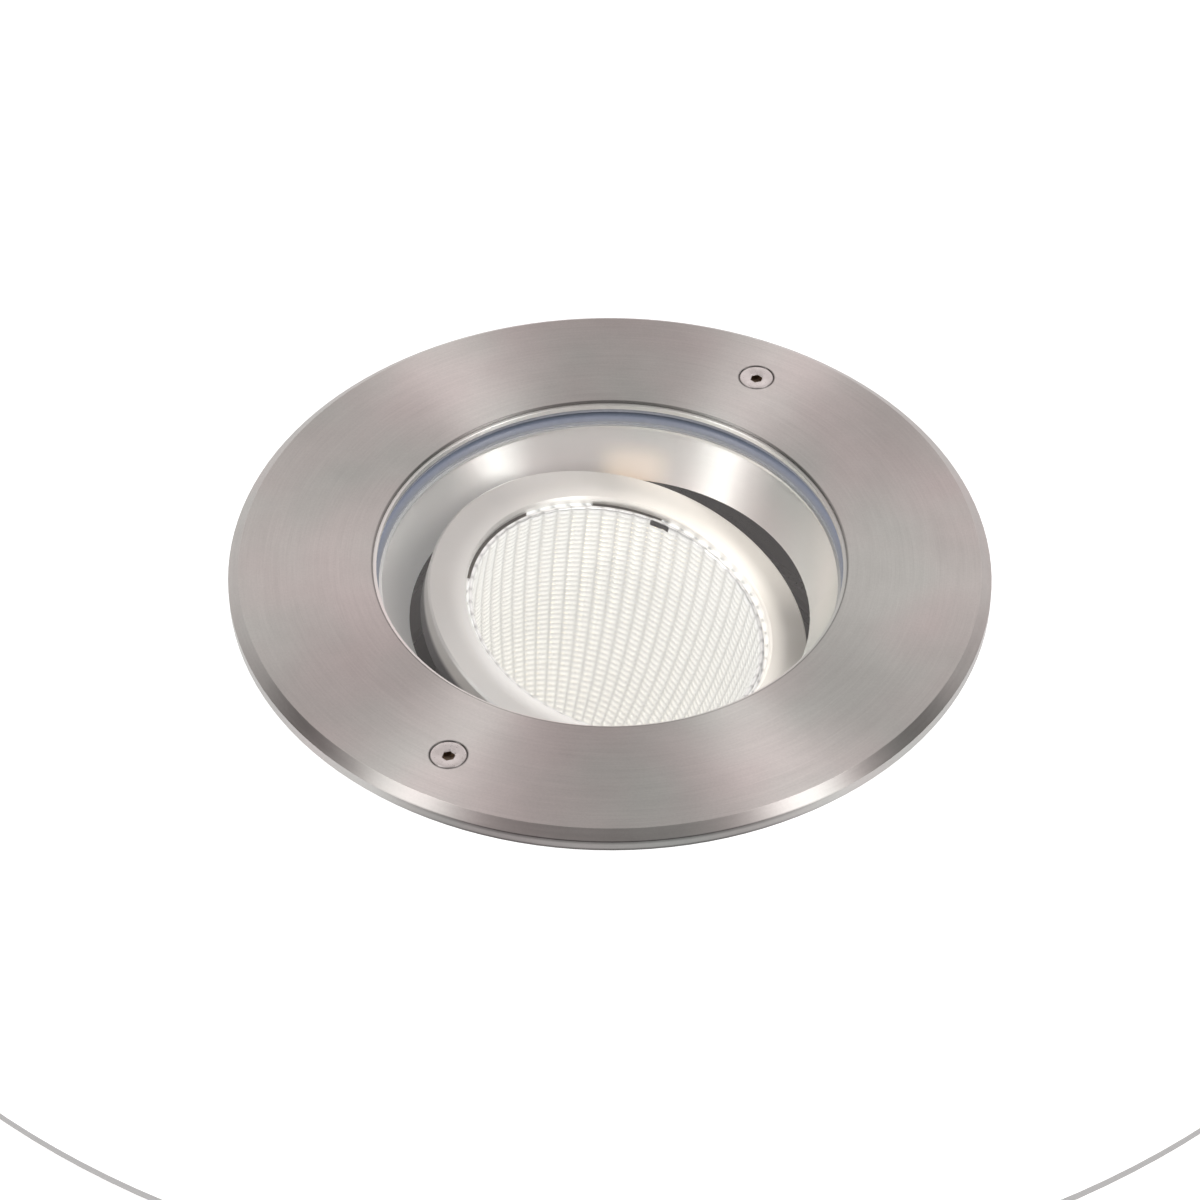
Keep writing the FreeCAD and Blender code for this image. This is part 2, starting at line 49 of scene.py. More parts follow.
# ------------------------------------------------------------------ node helpers
class Mat:
    """A small builder of node materials."""

    def __init__(self, name):
        self.m = bpy.data.materials.new(name)
        self.m.use_nodes = True
        self.t = self.m.node_tree
        self.t.nodes.clear()
        self.out = self.t.nodes.new("ShaderNodeOutputMaterial")

    def n(self, kind, **kw):
        node = self.t.nodes.new(kind)
        for k, v in kw.items():
            setattr(node, k, v)
        return node

    def link(self, a, b):
        self.t.links.new(a, b)

    def bsdf(self, **vals):
        b = self.n("ShaderNodeBsdfPrincipled")
        for k, v in vals.items():
            b.inputs[k.replace("_", " ")].default_value = v
        self.link(b.outputs[0], self.out.inputs[0])
        return b

    def math(self, op, a, b=None, c=None, clamp=False):
        n = self.n("ShaderNodeMath", operation=op, use_clamp=clamp)
        for i, x in enumerate((a, b, c)):
            if x is None:
                continue
            if isinstance(x, (int, float)):
                n.inputs[i].default_value = x
            else:
                self.link(x, n.inputs[i])
        return n.outputs[0]

    def obj(self):
        return self.n("ShaderNodeTexCoord").outputs["Object"]

    def xyz(self, v):
        s = self.n("ShaderNodeSeparateXYZ")
        self.link(v, s.inputs[0])
        return s.outputs

    def vec(self, x, y, z):
        c = self.n("ShaderNodeCombineXYZ")
        for i, a in enumerate((x, y, z)):
            if isinstance(a, (int, float)):
                c.inputs[i].default_value = a
            else:
                self.link(a, c.inputs[i])
        return c.outputs[0]

    def noise(self, vec, scale, detail=4.0, rough=0.55, dist=0.0):
        n = self.n("ShaderNodeTexNoise")
        n.inputs["Scale"].default_value = scale
        n.inputs["Detail"].default_value = detail
        n.inputs["Roughness"].default_value = rough
        n.inputs["Distortion"].default_value = dist
        self.link(vec, n.inputs["Vector"])
        return n.outputs[0]

    def remap(self, v, a, b, c, d):
        n = self.n("ShaderNodeMapRange")
        n.inputs[1].default_value, n.inputs[2].default_value = a, b
        n.inputs[3].default_value, n.inputs[4].default_value = c, d
        self.link(v, n.inputs[0])
        return n.outputs[0]

    def step(self, v, a, b):
        n = self.n("ShaderNodeMapRange", interpolation_type="SMOOTHSTEP")
        n.inputs[1].default_value, n.inputs[2].default_value = a, b
        n.inputs[3].default_value, n.inputs[4].default_value = 0.0, 1.0
        self.link(v, n.inputs[0])
        return n.outputs[0]

    def ramp(self, v, stops):
        n = self.n("ShaderNodeValToRGB")
        e = n.color_ramp.elements
        while len(e) > 1:
            e.remove(e[-1])
        e[0].position, e[0].color = stops[0][0], (*stops[0][1], 1)
        for p, c in stops[1:]:
            x = e.new(p)
            x.color = (*c, 1)
        self.link(v, n.inputs[0])
        return n.outputs[0]

    def mix(self, f, a, b, blend="MIX"):
        n = self.n("ShaderNodeMix", data_type="RGBA", blend_type=blend)
        if isinstance(f, (int, float)):
            n.inputs[0].default_value = f
        else:
            self.link(f, n.inputs[0])
        for i, x in ((6, a), (7, b)):
            if isinstance(x, tuple):
                n.inputs[i].default_value = (*x, 1) if len(x) == 3 else x
            else:
                self.link(x, n.inputs[i])
        return n.outputs[2]

    def bump(self, height, strength, dist):
        n = self.n("ShaderNodeBump")
        n.inputs["Strength"].default_value = strength
        n.inputs["Distance"].default_value = dist
        self.link(height, n.inputs["Height"])
        return n.outputs[0]

    def turn_coords(self, k_ang, k_r, k_z, coords=None):
        """Coordinates that run long round the Z axis and short across it, for turned and brushed rings."""
        x, y, z = self.xyz(coords or self.obj())
        r = self.math("SQRT", self.math("ADD", self.math("MULTIPLY", x, x), self.math("MULTIPLY", y, y)))
        ca = self.math("DIVIDE", x, r)
        sa = self.math("DIVIDE", y, r)
        return self.vec(self.math("MULTIPLY", ca, k_ang), self.math("MULTIPLY", sa, k_ang),
                        self.math("ADD", self.math("MULTIPLY", r, k_r), self.math("MULTIPLY", z, k_z))), r


def lamp_coords(M):
    """Object coordinates turned into the lamp's own axes (u, v, w), origin at its pivot."""
    n = M.n("ShaderNodeMapping", vector_type="TEXTURE")
    n.inputs["Location"].default_value = (0, 0, PIVOT_Z * MM)
    n.inputs["Rotation"].default_value = (math.radians(TILT_REST), 0, math.radians(TILT_AZ + 90))
    M.link(M.obj(), n.inputs["Vector"])
    return n.outputs[0]


# ------------------------------------------------------------------ materials
def brushed_steel(name, base=(0.66, 0.645, 0.635), rough=0.43, aniso=0.92, streak=1.0, coords=None, wall=False, glow=0.0):
    """Metal with its scratches running round the Z axis; light spreads across the scratches. With wall, painted shade
    on the outer wall, bevel and edges; with glow, painted light.
    """
    M = Mat(name)
    b = M.bsdf(Metallic=1.0, Roughness=rough, Anisotropic=aniso, Anisotropic_Rotation=0.25)
    src = coords(M) if coords else None
    tv, r = M.turn_coords(0.0010, 1.0, 1.0, src)
    fine = M.noise(tv, 5200.0, 3.0, 0.7)
    tv2, _ = M.turn_coords(0.0030, 1.0, 1.0, src)
    broad = M.noise(tv2, 1100.0, 2.0, 0.5)
    grain = M.noise(M.obj(), 1500.0, 3.0, 0.6)
    cloud = M.noise(M.obj(), 34.0, 3.0, 0.6)
    tone = M.noise(M.obj(), 21.0, 2.0, 0.5)
    v = M.math("ADD", M.math("MULTIPLY", fine, 0.6), M.math("MULTIPLY", broad, 0.4))
    lum = M.remap(v, 0.30, 0.70, 1.0 - 0.07 * streak, 1.0 + 0.07 * streak)
    lum = M.math("MULTIPLY", lum, M.remap(grain, 0.3, 0.7, 1.0 - 0.03 * streak, 1.0 + 0.03 * streak))
    mott = 0.055 if wall else 0.02
    lum = M.math("MULTIPLY", lum, M.remap(cloud, 0.3, 0.7, 1.0 - mott, 1.0 + mott))
    warm = tuple(c * k for c, k in zip(base, (1.03, 0.970, 0.970)))
    cool = tuple(c * k for c, k in zip(base, (0.965, 1.010, 0.990)))
    col = M.mix(M.remap(tone, 0.35, 0.65, 0.0, 1.0), warm, cool)
    if wall:                        # painted shade: the turned outer wall is darker than the brushed top, darkest along its two edges and lighter towards the front
        x, y, z = M.xyz(M.obj())
        rr = M.math("SQRT", M.math("ADD", M.math("MULTIPLY", x, x), M.math("MULTIPLY", y, y)))
        on_wall = M.step(rr, 0.10465, 0.10492)
        wall_shade = M.ramp(M.remap(z, 0.0, 3.0 * MM, 0, 1), [(0.0, (0.16,) * 3), (0.13, (0.28,) * 3), (0.30, (0.60,) * 3), (0.65, (0.60,) * 3), (0.88, (0.34,) * 3), (1.0, (0.28,) * 3)])
        front_light = M.step(M.math("DIVIDE", M.math("MULTIPLY", y, -1.0), rr), 0.80, 0.97)
        wall_shade = M.mix(front_light, (0.95, 0.95, 0.95), wall_shade)
        lum = M.math("MULTIPLY", lum, M.mix(on_wall, (1, 1, 1), wall_shade))
        # painted shade: the edge bevel is darker, most at the near left
        bevel = M.step(rr, 0.10205, 0.10225)
        near_left_shade = M.math("MULTIPLY", M.step(M.math("DIVIDE", M.math("MULTIPLY", x, -1.0), rr), 0.10, 0.30), M.step(M.math("DIVIDE", M.math("MULTIPLY", y, -1.0), rr), 0.78, 0.88))
        lum = M.math("MULTIPLY", lum, M.math("SUBTRACT", 1.0, M.math("MULTIPLY", bevel, M.remap(near_left_shade, 0, 1, 0.20, 0.33))))
        # painted shade: a thin darker line at the opening's edge and round each screw's countersink
        edge = M.math("SUBTRACT", 1.0, M.step(rr, 0.06545, 0.06590))
        for az in SCREW_AZ:
            a = math.radians(az)
            ex = M.math("SUBTRACT", x, SCREW_R * MM * cos(a))
            ey = M.math("SUBTRACT", y, SCREW_R * MM * sin(a))
            d = M.math("SQRT", M.math("ADD", M.math("MULTIPLY", ex, ex), M.math("MULTIPLY", ey, ey)))
            edge = M.math("MAXIMUM", edge, M.math("SUBTRACT", 1.0, M.step(d, 5.15 * MM, 5.55 * MM)))
        lum = M.math("MULTIPLY", lum, M.math("SUBTRACT", 1.0, M.math("MULTIPLY", edge, 0.50)))
    # painted light: the lip and cone glow, brighter towards -x, with a warm painted reflection of the lamp ring low on
    # the cone's far side; painted shade darkens the side towards +x
    if glow:
        gx = M.remap(M.xyz(M.obj())[0], -0.060, 0.060, glow * 1.75, glow * 0.05)
        ge = M.n("ShaderNodeVectorMath", operation="SCALE")
        ge.inputs[0].default_value = (1.0, 0.985, 0.96)
        M.link(gx, ge.inputs[3])
        ox, oy, oz = M.xyz(M.obj())
        turn = M.math("ABSOLUTE", M.math("SUBTRACT", M.math("ARCTAN2", oy, ox), math.radians(83)))
        painted_reflection = M.math("MULTIPLY", M.math("SUBTRACT", 1.0, M.step(turn, math.radians(3), math.radians(13))), M.math("SUBTRACT", 1.0, M.step(oz, -0.0150, -0.0085)))
        painted_reflection = M.math("MULTIPLY", painted_reflection, glow)
        shade = M.math("SUBTRACT", 1.0, M.step(M.math("ABSOLUTE", M.math("ARCTAN2", oy, ox)), math.radians(38), math.radians(48)))
        lum = M.math("MULTIPLY", lum, M.remap(shade, 0, 1, 1.0, 0.84))
        warm_ge = M.n("ShaderNodeVectorMath", operation="SCALE")
        warm_ge.inputs[0].default_value = (2.4, 1.7, 1.0)
        M.link(painted_reflection, warm_ge.inputs[3])
        both = M.n("ShaderNodeVectorMath", operation="ADD")
        M.link(ge.outputs[0], both.inputs[0])
        M.link(warm_ge.outputs[0], both.inputs[1])
        M.link(both.outputs[0], b.inputs["Emission Color"])
        b.inputs["Emission Strength"].default_value = 1.0
    sc = M.n("ShaderNodeVectorMath", operation="SCALE")
    M.link(col, sc.inputs[0])
    M.link(lum, sc.inputs[3])
    M.link(sc.outputs[0], b.inputs["Base Color"])
    rv = M.remap(v, 0.25, 0.75, rough - 0.03, rough + 0.03)
    if wall:                        # the edge bevel is cut finer than the flat
        rv = M.math("SUBTRACT", rv, M.math("MULTIPLY", M.step(rr, 0.10205, 0.10225), 0.09))
    M.link(rv, b.inputs["Roughness"])
    M.link(M.bump(v, 0.04, 0.00003), b.inputs["Normal"])
    t = M.n("ShaderNodeTangent", direction_type="RADIAL", axis="Z")
    M.link(t.outputs[0], b.inputs["Tangent"])
    return M.m


def satin_metal(name, base, rough, grain=0.04, scale=900.0, bump=0.04, aniso=0.0):
    M = Mat(name)
    b = M.bsdf(Metallic=1.0, Roughness=rough, Anisotropic=aniso)
    n1 = M.noise(M.obj(), scale, 5.0, 0.6)
    n2 = M.noise(M.obj(), 60.0, 3.0, 0.5)
    col = M.mix(M.remap(n2, 0.3, 0.7, 0, 1), tuple(c * 0.96 for c in base), tuple(min(1, c * 1.04) for c in base))
    M.link(col, b.inputs["Base Color"])
    M.link(M.remap(n1, 0.3, 0.7, rough - grain, rough + grain), b.inputs["Roughness"])
    M.link(M.bump(n1, bump, 0.0001), b.inputs["Normal"])
    return M.m


def plastic(name, base, rough, scale=700.0, bump=0.15, spec=0.5, dust=0.0):
    M = Mat(name)
    b = M.bsdf(Roughness=rough)
    b.inputs["Specular IOR Level"].default_value = spec
    n1 = M.noise(M.obj(), scale, 5.0, 0.65)
    n2 = M.noise(M.obj(), 28.0, 4.0, 0.55)
    col = M.mix(M.remap(n2, 0.3, 0.7, 0, 1), tuple(c * 0.9 for c in base), tuple(min(1, c * 1.12 + dust) for c in base))
    M.link(col, b.inputs["Base Color"])
    M.link(M.remap(n1, 0.3, 0.7, rough - 0.07, rough + 0.07), b.inputs["Roughness"])
    M.link(M.bump(n1, bump, 0.0002), b.inputs["Normal"])
    return M.m


M_STEEL = brushed_steel("brushed_stainless", wall=True)
# the lip and cone take painted glow, a painted reflection and painted shade
M_LIP = brushed_steel("turned_lip", base=(0.84, 0.83, 0.82), rough=0.42, aniso=0.6, streak=0.4, glow=0.06)
M_CONE = brushed_steel("turned_cone", base=(0.93, 0.92, 0.905), rough=0.38, aniso=0.88, streak=0.35, glow=0.11)


def lamp_ring_material():
    """Satin ring with painted light: a warm painted glow on the side towards which it leans, at the front and along the
    inner lip; painted shade on the lower skirt.
    """
    M = Mat("satin_lamp_ring")
    b = M.bsdf(Metallic=1.0, Roughness=0.42)
    n1 = M.noise(M.obj(), 1200.0, 5.0, 0.6)
    n2 = M.noise(M.obj(), 60.0, 3.0, 0.5)
    M.link(M.remap(n1, 0.3, 0.7, 0.39, 0.45), b.inputs["Roughness"])
    M.link(M.bump(n1, 0.03, 0.0001), b.inputs["Normal"])
    x, y, z = M.xyz(M.obj())
    u, v, w = M.xyz(lamp_coords(M))
    pale = M.mix(M.remap(n2, 0.3, 0.7, 0, 1), (0.85, 0.84, 0.82), (0.89, 0.87, 0.84))
    # painted shade: the skirt's lower part is darker
    M.link(M.mix(M.step(w, 4.8 * MM, 7.2 * MM), (0.16, 0.155, 0.165), pale), b.inputs["Base Color"])
    q = M.math("ADD", M.math("MULTIPLY", x, 0.8 / 0.054), M.math("MULTIPLY", y, 0.6 / 0.054))
    r = M.math("SQRT", M.math("ADD", M.math("MULTIPLY", u, u), M.math("MULTIPLY", v, v)))
    flat_r = M.math("SQRT", M.math("ADD", M.math("MULTIPLY", x, x), M.math("MULTIPLY", y, y)))
    qa = M.math("DIVIDE", M.math("ADD", M.math("MULTIPLY", x, 0.64), M.math("MULTIPLY", y, 0.77)), flat_r)
    low = M.math("DIVIDE", M.math("MULTIPLY", y, -1.0), flat_r)
    # painted light: warm painted glow on the face, strongest on the side it leans to and at the front, warmer towards
    # +x, with a painted highlight along the inner lip
    e = M.math("ADD", 0.04, M.math("MULTIPLY", M.step(qa, 0.1, 0.75), 0.20))
    e = M.math("ADD", e, M.math("MULTIPLY", M.step(qa, 0.74, 0.99), 0.40))
    qr = M.math("DIVIDE", M.math("ADD", M.math("MULTIPLY", x, 0.77), M.math("MULTIPLY", y, -0.64)), flat_r)
    e = M.math("ADD", e, M.math("MULTIPLY", M.step(qr, 0.78, 0.99), 0.20))
    e = M.math("ADD", e, M.math("MULTIPLY", M.step(low, 0.1, 0.8), 0.13))
    e = M.math("MULTIPLY", e, M.step(w, (FACE_W - 1.0) * MM, (FACE_W - 0.2) * MM))
    lip = M.math("SUBTRACT", 1.0, M.step(r, (RING_IN_R + 0.3) * MM, (RING_IN_R + 6.5) * MM))
    ul = M.math("ADD", M.math("MULTIPLY", x, -0.72 / 0.054), M.math("MULTIPLY", y, 0.70 / 0.054))
    e = M.math("ADD", e, M.math("MULTIPLY", lip, M.remap(ul, -0.2, 0.8, 0.34, 0.12)))
    warm = M.mix(M.remap(q, -0.9, 0.6, 0, 1), (1.0, 0.99, 0.975), (1.0, 0.925, 0.825))
    sc = M.n("ShaderNodeVectorMath", operation="SCALE")
    M.link(warm, sc.inputs[0])
    M.link(e, sc.inputs[3])
    M.link(sc.outputs[0], b.inputs["Emission Color"])
    b.inputs["Emission Strength"].default_value = 1.0
    return M.m


M_RING = lamp_ring_material()


def screw_material():
    """Countersunk socket screws: pale turned head; painted shade inside the hexagon and in a ring round the head."""
    M = Mat("screw_steel")
    b = M.bsdf(Metallic=1.0, Roughness=0.30)
    x, y, z = M.xyz(M.obj())
    n1 = M.noise(M.obj(), 1500.0, 4.0, 0.6)
    near = None
    for az in SCREW_AZ:
        a = math.radians(az)
        ex = M.math("SUBTRACT", x, SCREW_R * MM * cos(a))
        ey = M.math("SUBTRACT", y, SCREW_R * MM * sin(a))
        d = M.math("SQRT", M.math("ADD", M.math("MULTIPLY", ex, ex), M.math("MULTIPLY", ey, ey)))
        near = d if near is None else M.math("MINIMUM", near, d)
    # painted shade: dark deep in the hexagon socket and in a ring round the head
    deep = M.math("SUBTRACT", 1.0, M.step(z, (BEZEL_TOP - 0.75) * MM, (BEZEL_TOP - 0.40) * MM))
    socket_shade = M.math("MULTIPLY", deep, M.math("SUBTRACT", 1.0, M.step(near, 2.0 * MM, 2.2 * MM)))
    rim_shade = M.step(near, 4.50 * MM, 4.85 * MM)
    stain = M.noise(M.obj(), 420.0, 4.0, 0.65)
    pale = M.mix(M.remap(stain, 0.35, 0.65, 0, 1), (0.86, 0.82, 0.815), (0.74, 0.70, 0.69))
    pale = M.mix(M.math("MULTIPLY", rim_shade, 0.85), pale, (0.16, 0.145, 0.14))
    M.link(M.mix(socket_shade, pale, (0.24, 0.19, 0.15)), b.inputs["Base Color"])
    M.link(M.remap(n1, 0.3, 0.7, 0.26, 0.34), b.inputs["Roughness"])
    return M.m


M_SCREW = screw_material()
M_FIXING = satin_metal("fixing_steel", (0.66, 0.65, 0.64), 0.30, scale=1500.0)
M_ZINC = satin_metal("zinc_steel", (0.62, 0.62, 0.60), 0.32)
M_SPRING = satin_metal("spring_steel", (0.33, 0.33, 0.34), 0.30)
M_BRASS = satin_metal("turned_brass", (0.72, 0.53, 0.25), 0.26)
M_SINK = satin_metal("dark_anodised", (0.16, 0.16, 0.17), 0.45, bump=0.1)
# painted shade: dark finish for the reflector's locating notch
M_SHADE = plastic("notch_painted_shade", (0.05, 0.048, 0.045), 0.6)
M_GROOVE = plastic("groove_shade", (0.24, 0.22, 0.18), 0.5)
M_CAST = satin_metal("blasted_casting", (0.36, 0.36, 0.37), 0.5, bump=0.25, scale=1400.0)
M_POT = plastic("powder_coat", (0.055, 0.055, 0.058), 0.5, scale=1800.0, bump=0.35)
M_SLEEVE = plastic("sleeve_plastic", (0.022, 0.022, 0.024), 0.50, scale=900.0, bump=0.16, spec=0.30, dust=0.006)
M_GLAND = plastic("gland_plastic", (0.022, 0.022, 0.024), 0.38)
M_BLACK = plastic("black_rubber", (0.018, 0.018, 0.020), 0.55, spec=0.3)


def silicone_material():
    """Grey silicone against the pane; a faint blue painted glow under the pane, fading to painted shade towards the
    outer edge, and a fainter painted glow on the upper gasket.
    """
    M = Mat("grey_silicone")
    b = M.bsdf(Roughness=0.5)
    x, y, z = M.xyz(M.obj())
    n1 = M.noise(M.obj(), 700.0, 4.0)
    M.link(M.mix(M.remap(n1, 0.3, 0.7, 0, 1), (0.33, 0.35, 0.39), (0.38, 0.40, 0.45)), b.inputs["Base Color"])
    b.inputs["Specular IOR Level"].default_value = 0.3
    r = M.math("SQRT", M.math("ADD", M.math("MULTIPLY", x, x), M.math("MULTIPLY", y, y)))
    # painted light: faint blue glow on the gasket under the pane, with painted shade towards its outer edge and on the
    # upper gasket
    under = M.ramp(M.remap(r, 63.8 * MM, 68.5 * MM, 0, 1), [(0.0, (0.150, 0.152, 0.162)), (0.35, (0.165, 0.172, 0.205)), (0.62, (0.085, 0.094, 0.118)), (0.85, (0.03, 0.033, 0.042))])
    over = M.ramp(M.remap(z, 1.7 * MM, 2.95 * MM, 0, 1), [(0.0, (0.060, 0.064, 0.078)), (0.5, (0.030, 0.031, 0.036)), (1.0, (0.018, 0.018, 0.02))])
    M.link(M.mix(M.step(z, 0.5 * MM, 1.5 * MM), under, over), b.inputs["Emission Color"])
    b.inputs["Emission Strength"].default_value = 1.0
    return M.m


M_GREY = silicone_material()
M_NYLON = plastic("white_nylon", (0.62, 0.61, 0.58), 0.45)
M_CASE = plastic("driver_case", (0.42, 0.43, 0.44), 0.5)
M_BOARD = plastic("white_board", (0.78, 0.78, 0.75), 0.35, bump=0.03)


def glass_materials():
    G = Mat("clear_glass")
    b = G.bsdf(Roughness=0.0)
    b.inputs["Transmission Weight"].default_value = 1.0
    b.inputs["IOR"].default_value = 1.52
    b.inputs["Base Color"].default_value = (0.985, 0.992, 0.99, 1)
    n = G.noise(G.obj(), 40.0, 2.0)
    G.link(G.mix(G.remap(n, 0.3, 0.7, 0, 1), (0.985, 0.992, 0.988), (0.978, 0.988, 0.986)), b.inputs["Base Color"])
    E = Mat("ground_glass_edge")
    e = E.bsdf(Roughness=0.45)
    x, y, z = E.xyz(E.obj())
    n1 = E.noise(E.obj(), 1400.0, 4.0)
    # painted shade: the ground edge is darker towards its top
    col = E.ramp(E.remap(z, GLASS_BOT * MM, GLASS_TOP * MM, 0, 1),
                 [(0.0, (0.42, 0.46, 0.54)), (0.25, (0.30, 0.335, 0.41)), (0.7, (0.27, 0.30, 0.375)), (1.0, (0.20, 0.225, 0.28))])
    E.link(E.mix(E.remap(n1, 0.3, 0.7, 0.0, 0.25), col, (0.5, 0.54, 0.6)), e.inputs["Base Color"])
    E.link(E.bump(n1, 0.3, 0.0001), e.inputs["Normal"])
    return G.m, E.m


M_GLASS, M_EDGE = glass_materials()


FLUTES, ROWS = 57, 47
TWIST = 0.0041                     # the flutes run slightly helically, radians per mm of depth
RIM_W, WALL_END, BOWL_END, HOLE_R = 8.8, 80.0, 81.5, 11.6


def reflector_material():
    M = Mat("metallised_facets")
    b = M.bsdf(Metallic=0.9, Roughness=0.22)
    c = lamp_coords(M)
    u, v, w = M.xyz(c)
    n = M.noise(c, 300.0, 3.0)
    # painted shade: a thin darker line in the valley between two flutes and along the seams between rows
    turn = M.math("ADD", M.math("ARCTAN2", v, u), M.math("MULTIPLY", M.math("SUBTRACT", RIM_W * MM, w), TWIST / MM))
    ph = M.math("FRACT", M.math("ADD", M.math("MULTIPLY", turn, FLUTES / (2 * pi)), 200.0))
    off = M.math("MINIMUM", ph, M.math("SUBTRACT", 1.0, ph))
    valley = M.math("SUBTRACT", 1.0, M.step(off, 0.03, 0.17))
    row = M.n("ShaderNodeAttribute", attribute_name="row").outputs["Fac"]
    ph2 = M.math("FRACT", row)
    off2 = M.math("MINIMUM", ph2, M.math("SUBTRACT", 1.0, ph2))
    seam = M.math("SUBTRACT", 1.0, M.step(off2, 0.06, 0.36))
    valley = M.math("MAXIMUM", valley, M.math("MULTIPLY", seam, ROW_SEAM_SHADE))
    # painted highlight: each facet is brighter at its centre
    bead_highlight = M.math("MULTIPLY", M.step(off, 0.04, 0.34), M.remap(M.step(off2, 0.08, 0.42), 0, 1, 0.25, 1.0))
    col = M.mix(M.remap(n, 0.3, 0.7, 0, 1), (0.925, 0.925, 0.92), (0.95, 0.95, 0.945))
    col = M.mix(M.math("MULTIPLY", valley, VALLEY_SHADE), col, (0.38, 0.375, 0.37))
    M.link(col, b.inputs["Base Color"])
    # painted light: the facets glow, warmer towards the bottom near the LED
    warm = M.ramp(M.remap(w, -72 * MM, 9 * MM, 0, 1),
                  [(0.0, (1.0, 0.95, 0.84)), (0.45, (1.0, 0.98, 0.93)), (0.8, (1.0, 0.995, 0.98)), (1.0, (1.0, 1.0, 0.99))])
    sc = M.n("ShaderNodeVectorMath", operation="SCALE")
    M.link(warm, sc.inputs[0])
    M.link(M.remap(bead_highlight, 0.0, 1.0, 0.52, 1.22), sc.inputs[3])
    M.link(sc.outputs[0], b.inputs["Emission Color"])
    b.inputs["Emission Strength"].default_value = REFL_GLOW
    M.link(M.remap(n, 0.3, 0.7, 0.15, 0.22), b.inputs["Roughness"])
    return M.m


# strengths of the reflector's painted glow and painted valley and seam shade, and of the LED's glow
REFL_GLOW, VALLEY_SHADE, ROW_SEAM_SHADE, LED_GLOW = 0.26, 0.22, 0.60, 2.5
M_REFL = reflector_material()


def led_material():
    M = Mat("led_phosphor")
    b = M.bsdf(Roughness=0.4)
    n = M.noise(M.obj(), 700.0, 3.0)
    M.link(M.mix(n, (0.95, 0.80, 0.40), (1.0, 0.88, 0.52)), b.inputs["Base Color"])
    M.link(M.mix(n, (1.0, 0.90, 0.70), (1.0, 0.94, 0.80)), b.inputs["Emission Color"])
    b.inputs["Emission Strength"].default_value = LED_GLOW
    return M.m


M_LED = led_material()

FINISH = {
    "bezel_ring": M_STEEL, "bezel_screws": M_SCREW, "bezel_gasket": M_BLACK, "clamp_ring": M_LIP, "clamp_ring_screws": M_FIXING,
    "upper_gasket": M_GREY, "glass_pane": M_GLASS, "lower_gasket": M_GREY, "inner_cone": M_CONE, "lamp_housing": M_POT,
    "pan_slide_ring": M_NYLON, "pan_retaining_ring": M_SPRING, "driver_bracket": M_ZINC, "led_driver": M_CASE,
    "driver_bracket_screws": M_ZINC, "terminal_block": M_NYLON, "terminal_screws": M_ZINC, "earth_screw": M_BRASS,
    "cable_gland_body": M_GLAND, "gland_washer": M_BLACK, "gland_locknut": M_GLAND, "gland_seal": M_BLACK,
    "gland_dome_nut": M_GLAND, "breather_vent": M_GLAND, "blanking_plug": M_GLAND, "sleeve_collar": M_SLEEVE, "sleeve_tube": M_SLEEVE, "sleeve_base_ring": M_SLEEVE,
    "sleeve_inserts": M_BRASS, "pan_yoke": M_ZINC, "lamp_trim_ring": M_RING, "reflector": M_REFL, "lamp_body": M_CAST,
    "trim_ring_screws": M_ZINC, "tilt_pivot_screws": M_ZINC, "tilt_friction_washers": M_NYLON, "led_board": M_BOARD,
    "led_emitter": M_LED, "led_holder": M_NYLON, "led_holder_screws": M_ZINC, "heat_sink": M_SINK, "heat_sink_screws": M_ZINC,
}
for name, obj in NODES.items():
    m = FINISH[name]
    if not obj.material_slots:
        obj.data.materials.append(m)
    for s in obj.material_slots:
        s.material = m


# ------------------------------------------------------------------ mesh helpers
def add(name, verts, faces, mats, body, smooth=True, mat_index=None, angle=None):
    me = bpy.data.meshes.new(name)
    me.from_pydata([tuple(c * MM for c in v) for v in verts], [], faces)
    me.update()
    o = bpy.data.objects.new(name, me)
    S.collection.objects.link(o)
    for m in mats:
        me.materials.append(m)
    if mat_index:
        for p, i in zip(me.polygons, mat_index):
            p.material_index = i
    bm = bmesh.new()
    bm.from_mesh(me)
    bmesh.ops.recalc_face_normals(bm, faces=bm.faces)
    bm.to_mesh(me)
    bm.free()
    for p in me.polygons:
        p.use_smooth = smooth
    if smooth and angle is not None:
        me.set_sharp_from_angle(angle=math.radians(angle))
    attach(o, body)
    return o


def lathe(profile, n=256, closed=True):
    """Faces of revolution about Z from a list of (r, z); returns verts, faces, index of the profile edge of each face."""
    verts, faces, edge = [], [], []
    m = len(profile)
    for i in range(n):
        a = 2 * pi * i / n
        c, s = cos(a), sin(a)
        verts += [(r * c, r * s, z) for r, z in profile]
    for i in range(n):
        j = (i + 1) % n
        for k in range(m if closed else m - 1):
            l = (k + 1) % m
            faces.append((i * m + k, j * m + k, j * m + l, i * m + l))
            edge.append(k)
    return verts, faces, edge


LEAN = Matrix.Translation(Vector((0, 0, PIVOT_Z))) @ Matrix.Rotation(math.radians(TILT_AZ + 90), 4, "Z") @ Matrix.Rotation(math.radians(TILT_REST), 4, "X")


def leaned(verts):
    return [tuple(LEAN @ Vector(v)) for v in verts]


